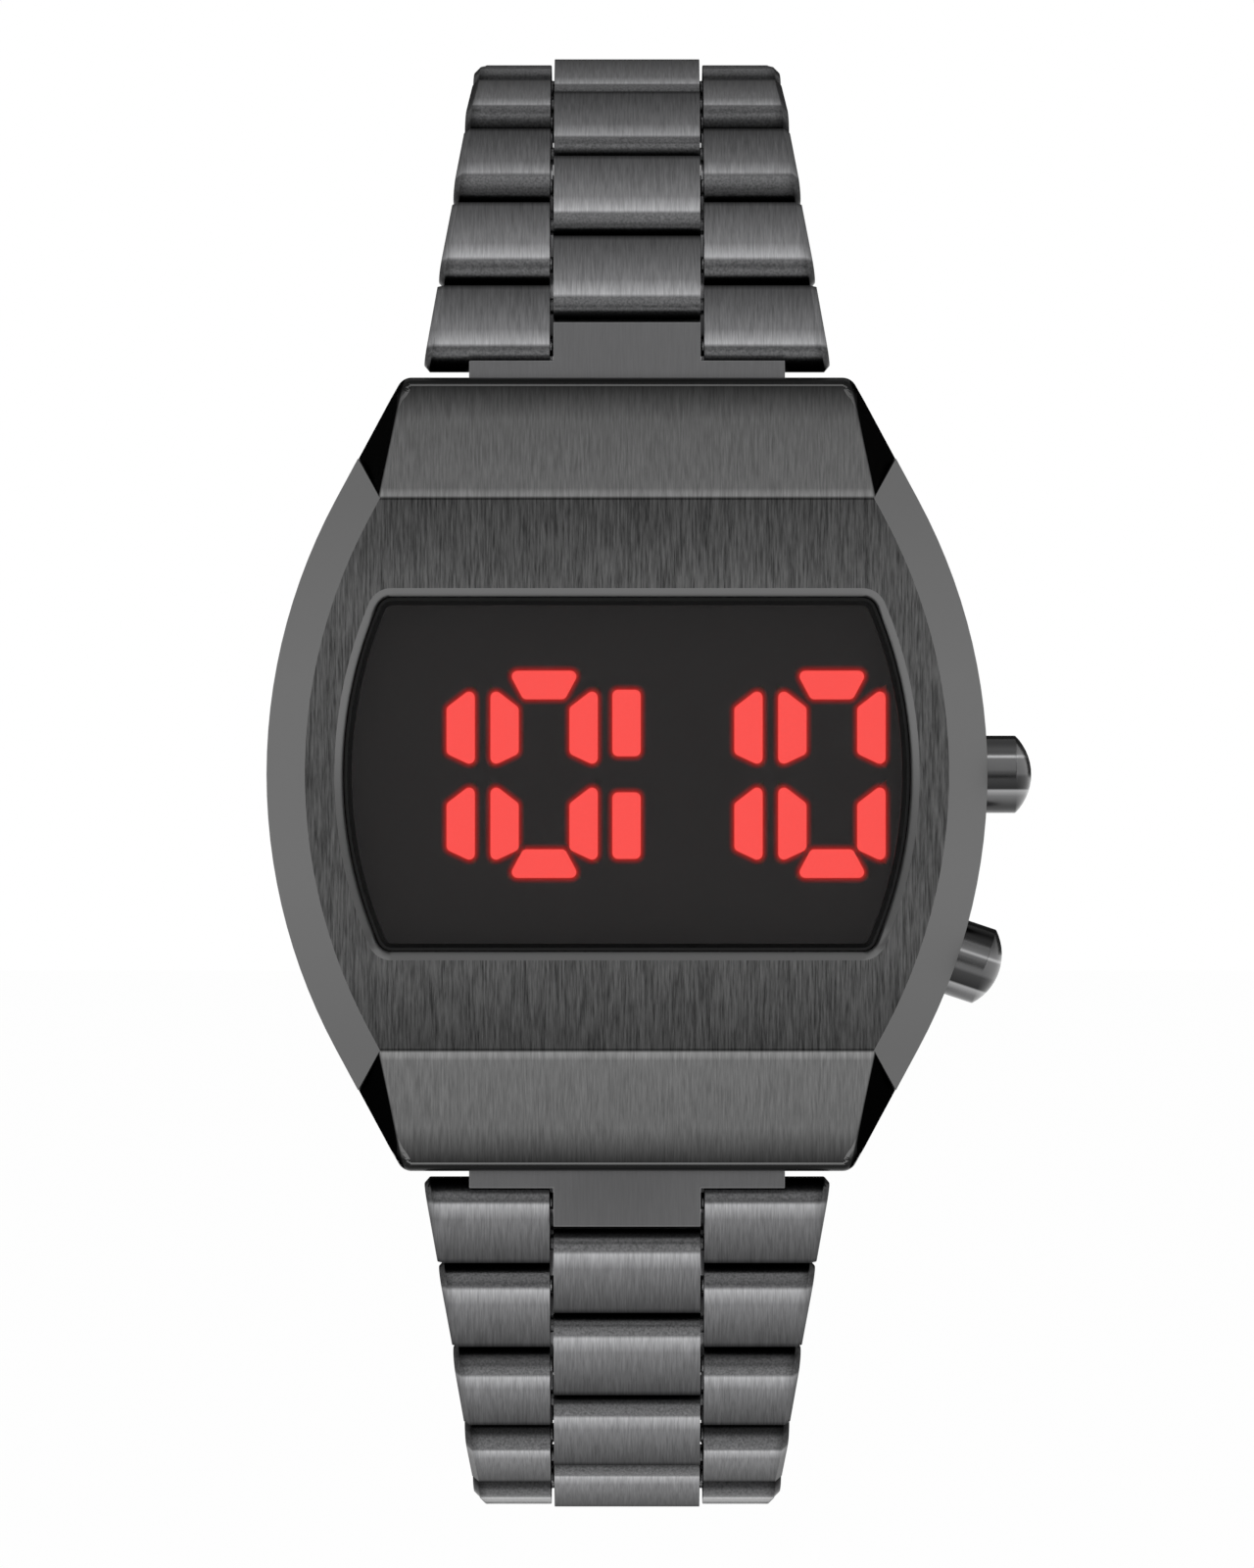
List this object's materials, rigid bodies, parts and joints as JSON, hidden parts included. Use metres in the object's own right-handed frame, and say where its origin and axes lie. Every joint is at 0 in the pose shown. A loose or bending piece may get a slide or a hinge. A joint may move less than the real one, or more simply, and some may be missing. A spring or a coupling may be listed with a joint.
{
  "type": "wrist watch",
  "caption": "Digital wrist watch with a lit red display in a faceted steel case, push buttons, a hinged steel bracelet and a folding clasp.",
  "frame": {"origin": "middle of the outer face of the case back", "axes": "+Y out of the case back into the wrist, so the dial looks along -Y; +Z towards twelve o'clock; +X towards the push buttons"},
  "size_m": [0.0404, 0.044, 0.0783],
  "materials": {
    "case_steel": "brushed grey plated steel with polished bevels",
    "back_steel": "satin steel",
    "crystal": "smoked mineral glass, polished",
    "seal_rubber": "black nitrile",
    "panel_black": "dark printed panel",
    "led_red": "lit red diffusers",
    "board_green": "glass fibre board",
    "chip_black": "moulded chip body",
    "holder_white": "moulded natural plastic",
    "cell_steel": "bright nickel plated can",
    "strip_steel": "stamped spring strip",
    "screw_steel": "polished steel",
    "button_steel": "polished grey plated steel",
    "spring_steel": "bright spring wire",
    "contact_brass": "gilt contact strip",
    "link_steel": "lengthwise brushed grey plated steel",
    "clasp_steel": "brushed grey plated steel",
    "blade_steel": "satin spring steel",
    "pin_steel": "turned steel"
  },
  "bodies": {
    "case": {"case_body": "case_steel", "crystal": "crystal", "crystal_gasket": "seal_rubber", "display_panel": "panel_black", "led_segments": "led_red", "display_board": "board_green", "circuit_board": "board_green", "drive_chips": "chip_black", "module_holder": "holder_white", "battery": "cell_steel", "battery_strap": "strip_steel", "case_back": "back_steel", "back_gasket": "seal_rubber", "back_screws": "screw_steel", "upper_button_spring": "spring_steel", "lower_button_spring": "spring_steel", "button_tubes": "pin_steel", "switch_contacts": "contact_brass", "upper_end_link": "link_steel", "lower_end_link": "link_steel", "case_bars": "pin_steel"},
    "upper_button": {"upper_button": "button_steel", "upper_button_seal": "seal_rubber", "upper_button_clip": "strip_steel"},
    "lower_button": {"lower_button": "button_steel", "lower_button_seal": "seal_rubber", "lower_button_clip": "strip_steel"},
    "upper_row_1": {"upper_row_1": "link_steel"},
    "upper_row_2": {"upper_row_2": "link_steel"},
    "upper_row_3": {"upper_row_3": "link_steel"},
    "upper_row_4": {"upper_row_4": "link_steel"},
    "upper_row_5": {"upper_row_5": "link_steel"},
    "upper_row_6": {"upper_row_6": "link_steel"},
    "upper_row_7": {"upper_row_7": "link_steel"},
    "upper_row_8": {"upper_row_8": "link_steel"},
    "upper_row_9": {"upper_row_9": "link_steel"},
    "upper_row_10": {"upper_row_10": "link_steel"},
    "upper_row_11": {"upper_row_11": "link_steel"},
    "upper_row_12": {"upper_row_12": "link_steel"},
    "lower_row_1": {"lower_row_1": "link_steel"},
    "lower_row_2": {"lower_row_2": "link_steel"},
    "lower_row_3": {"lower_row_3": "link_steel"},
    "lower_row_4": {"lower_row_4": "link_steel"},
    "lower_row_5": {"lower_row_5": "link_steel"},
    "lower_row_6": {"lower_row_6": "link_steel"},
    "lower_row_7": {"lower_row_7": "link_steel"},
    "lower_row_8": {"lower_row_8": "link_steel"},
    "lower_row_9": {"lower_row_9": "link_steel"},
    "lower_row_10": {"lower_row_10": "link_steel"},
    "lower_row_11": {"lower_row_11": "link_steel"},
    "lower_row_12": {"lower_row_12": "link_steel", "fork_bar": "pin_steel"},
    "cover": {"clasp_cover": "clasp_steel", "cover_bar": "pin_steel", "cover_hinge_pin": "pin_steel"},
    "outer_blade": {"outer_blade": "blade_steel", "fold_pin": "pin_steel"},
    "inner_blade": {"inner_blade": "blade_steel"}
  },
  "joints": [
    {"name": "upper_button_press", "type": "slide", "parent": "case", "child": "upper_button", "axis": [-1, 0, 0], "range_m": [0, 0.0006], "stiffness_N_per_m": 2500, "deforming": ["upper_button_spring"]},
    {"name": "lower_button_press", "type": "slide", "parent": "case", "child": "lower_button", "axis": [-0.9483, 0, 0.3173], "range_m": [0, 0.0006], "stiffness_N_per_m": 2500, "deforming": ["lower_button_spring"]},
    {"name": "upper_hinge_1", "type": "hinge", "parent": "case", "child": "upper_row_1", "pos_m": [0, -0.003, 0.0226], "axis": [1, 0, 0], "range_deg": [0, 11]},
    {"name": "upper_hinge_2", "type": "hinge", "parent": "upper_row_1", "child": "upper_row_2", "pos_m": [0, -0.00214, 0.02702], "axis": [1, 0, 0], "range_deg": [0, 10]},
    {"name": "upper_hinge_3", "type": "hinge", "parent": "upper_row_2", "child": "upper_row_3", "pos_m": [0, -0.00053, 0.03122], "axis": [1, 0, 0], "range_deg": [0, 18]},
    {"name": "upper_hinge_4", "type": "hinge", "parent": "upper_row_3", "child": "upper_row_4", "pos_m": [0, 0.0023, 0.03472], "axis": [1, 0, 0], "range_deg": [0, 23]},
    {"name": "upper_hinge_5", "type": "hinge", "parent": "upper_row_4", "child": "upper_row_5", "pos_m": [0, 0.00628, 0.03683], "axis": [1, 0, 0], "range_deg": [0, 23]},
    {"name": "upper_hinge_6", "type": "hinge", "parent": "upper_row_5", "child": "upper_row_6", "pos_m": [0, 0.01076, 0.03722], "axis": [1, 0, 0], "range_deg": [0, 18]},
    {"name": "upper_hinge_7", "type": "hinge", "parent": "upper_row_6", "child": "upper_row_7", "pos_m": [0, 0.01514, 0.03621], "axis": [1, 0, 0], "range_deg": [0, 15]},
    {"name": "upper_hinge_8", "type": "hinge", "parent": "upper_row_7", "child": "upper_row_8", "pos_m": [0, 0.01912, 0.0341], "axis": [1, 0, 0], "range_deg": [0, 12]},
    {"name": "upper_hinge_9", "type": "hinge", "parent": "upper_row_8", "child": "upper_row_9", "pos_m": [0, 0.02256, 0.0312], "axis": [1, 0, 0], "range_deg": [0, 10]},
    {"name": "upper_hinge_10", "type": "hinge", "parent": "upper_row_9", "child": "upper_row_10", "pos_m": [0, 0.02546, 0.02776], "axis": [1, 0, 0], "range_deg": [0, 9]},
    {"name": "upper_hinge_11", "type": "hinge", "parent": "upper_row_10", "child": "upper_row_11", "pos_m": [0, 0.02777, 0.0239], "axis": [1, 0, 0], "range_deg": [0, 8]},
    {"name": "upper_hinge_12", "type": "hinge", "parent": "upper_row_11", "child": "upper_row_12", "pos_m": [0, 0.02953, 0.01976], "axis": [1, 0, 0], "range_deg": [0, 6]},
    {"name": "cover_hinge", "type": "hinge", "parent": "upper_row_12", "child": "cover", "pos_m": [0, 0.03085, 0.01545], "axis": [1, 0, 0], "range_deg": [0, 3.57]},
    {"name": "clasp_hinge", "type": "hinge", "parent": "cover", "child": "outer_blade", "pos_m": [0, 0.03182, -0.01314], "axis": [1, 0, 0], "range_deg": [0, 170]},
    {"name": "fold_hinge", "type": "hinge", "parent": "outer_blade", "child": "inner_blade", "pos_m": [0, 0.03184, 0.01218], "axis": [-1, 0, 0], "range_deg": [0, 150]},
    {"name": "lower_hinge_1", "type": "hinge", "parent": "case", "child": "lower_row_1", "pos_m": [0, -0.003, -0.0226], "axis": [-1, 0, 0], "range_deg": [0, 10]},
    {"name": "lower_hinge_2", "type": "hinge", "parent": "lower_row_1", "child": "lower_row_2", "pos_m": [0, -0.00222, -0.02703], "axis": [-1, 0, 0], "range_deg": [0, 6]},
    {"name": "lower_hinge_3", "type": "hinge", "parent": "lower_row_2", "child": "lower_row_3", "pos_m": [0, -0.00098, -0.03136], "axis": [-1, 0, 0], "range_deg": [0, 18]},
    {"name": "lower_hinge_4", "type": "hinge", "parent": "lower_row_3", "child": "lower_row_4", "pos_m": [0, 0.00154, -0.03509], "axis": [-1, 0, 0], "range_deg": [0, 22]},
    {"name": "lower_hinge_5", "type": "hinge", "parent": "lower_row_4", "child": "lower_row_5", "pos_m": [0, 0.00527, -0.0376], "axis": [-1, 0, 0], "range_deg": [0, 26]},
    {"name": "lower_hinge_6", "type": "hinge", "parent": "lower_row_5", "child": "lower_row_6", "pos_m": [0, 0.00972, -0.03823], "axis": [-1, 0, 0], "range_deg": [0, 21]},
    {"name": "lower_hinge_7", "type": "hinge", "parent": "lower_row_6", "child": "lower_row_7", "pos_m": [0, 0.01411, -0.03722], "axis": [-1, 0, 0], "range_deg": [0, 16]},
    {"name": "lower_hinge_8", "type": "hinge", "parent": "lower_row_7", "child": "lower_row_8", "pos_m": [0, 0.01805, -0.03504], "axis": [-1, 0, 0], "range_deg": [0, 12]},
    {"name": "lower_hinge_9", "type": "hinge", "parent": "lower_row_8", "child": "lower_row_9", "pos_m": [0, 0.02144, -0.03208], "axis": [-1, 0, 0], "range_deg": [0, 10]},
    {"name": "lower_hinge_10", "type": "hinge", "parent": "lower_row_9", "child": "lower_row_10", "pos_m": [0, 0.02427, -0.02859], "axis": [-1, 0, 0], "range_deg": [0, 8]},
    {"name": "lower_hinge_11", "type": "hinge", "parent": "lower_row_10", "child": "lower_row_11", "pos_m": [0, 0.02659, -0.02473], "axis": [-1, 0, 0], "range_deg": [0, 6]},
    {"name": "lower_hinge_12", "type": "hinge", "parent": "lower_row_11", "child": "lower_row_12", "pos_m": [0, 0.02849, -0.02065], "axis": [-1, 0, 0], "range_deg": [0, 5]}
  ],
  "couplings": [
    {"joint": "upper_hinge_2", "follows": "upper_hinge_1", "ratio": 0.90909},
    {"joint": "upper_hinge_3", "follows": "upper_hinge_1", "ratio": 1.6364},
    {"joint": "upper_hinge_4", "follows": "upper_hinge_1", "ratio": 2.0909},
    {"joint": "upper_hinge_5", "follows": "upper_hinge_1", "ratio": 2.0909},
    {"joint": "upper_hinge_6", "follows": "upper_hinge_1", "ratio": 1.6364},
    {"joint": "upper_hinge_7", "follows": "upper_hinge_1", "ratio": 1.3636},
    {"joint": "upper_hinge_8", "follows": "upper_hinge_1", "ratio": 1.0909},
    {"joint": "upper_hinge_9", "follows": "upper_hinge_1", "ratio": 0.90909},
    {"joint": "upper_hinge_10", "follows": "upper_hinge_1", "ratio": 0.81818},
    {"joint": "upper_hinge_11", "follows": "upper_hinge_1", "ratio": 0.72727},
    {"joint": "upper_hinge_12", "follows": "upper_hinge_1", "ratio": 0.54545},
    {"joint": "cover_hinge", "follows": "upper_hinge_1", "ratio": 0.32422},
    {"joint": "clasp_hinge", "follows": "lower_hinge_1", "ratio": 17},
    {"joint": "fold_hinge", "follows": "lower_hinge_1", "ratio": 15},
    {"joint": "lower_hinge_2", "follows": "lower_hinge_1", "ratio": 0.6},
    {"joint": "lower_hinge_3", "follows": "lower_hinge_1", "ratio": 1.8},
    {"joint": "lower_hinge_4", "follows": "lower_hinge_1", "ratio": 2.2},
    {"joint": "lower_hinge_5", "follows": "lower_hinge_1", "ratio": 2.6},
    {"joint": "lower_hinge_6", "follows": "lower_hinge_1", "ratio": 2.1},
    {"joint": "lower_hinge_7", "follows": "lower_hinge_1", "ratio": 1.6},
    {"joint": "lower_hinge_8", "follows": "lower_hinge_1", "ratio": 1.2},
    {"joint": "lower_hinge_9", "follows": "lower_hinge_1", "ratio": 1},
    {"joint": "lower_hinge_10", "follows": "lower_hinge_1", "ratio": 0.8},
    {"joint": "lower_hinge_11", "follows": "lower_hinge_1", "ratio": 0.6},
    {"joint": "lower_hinge_12", "follows": "lower_hinge_1", "ratio": 0.5}
  ]
}
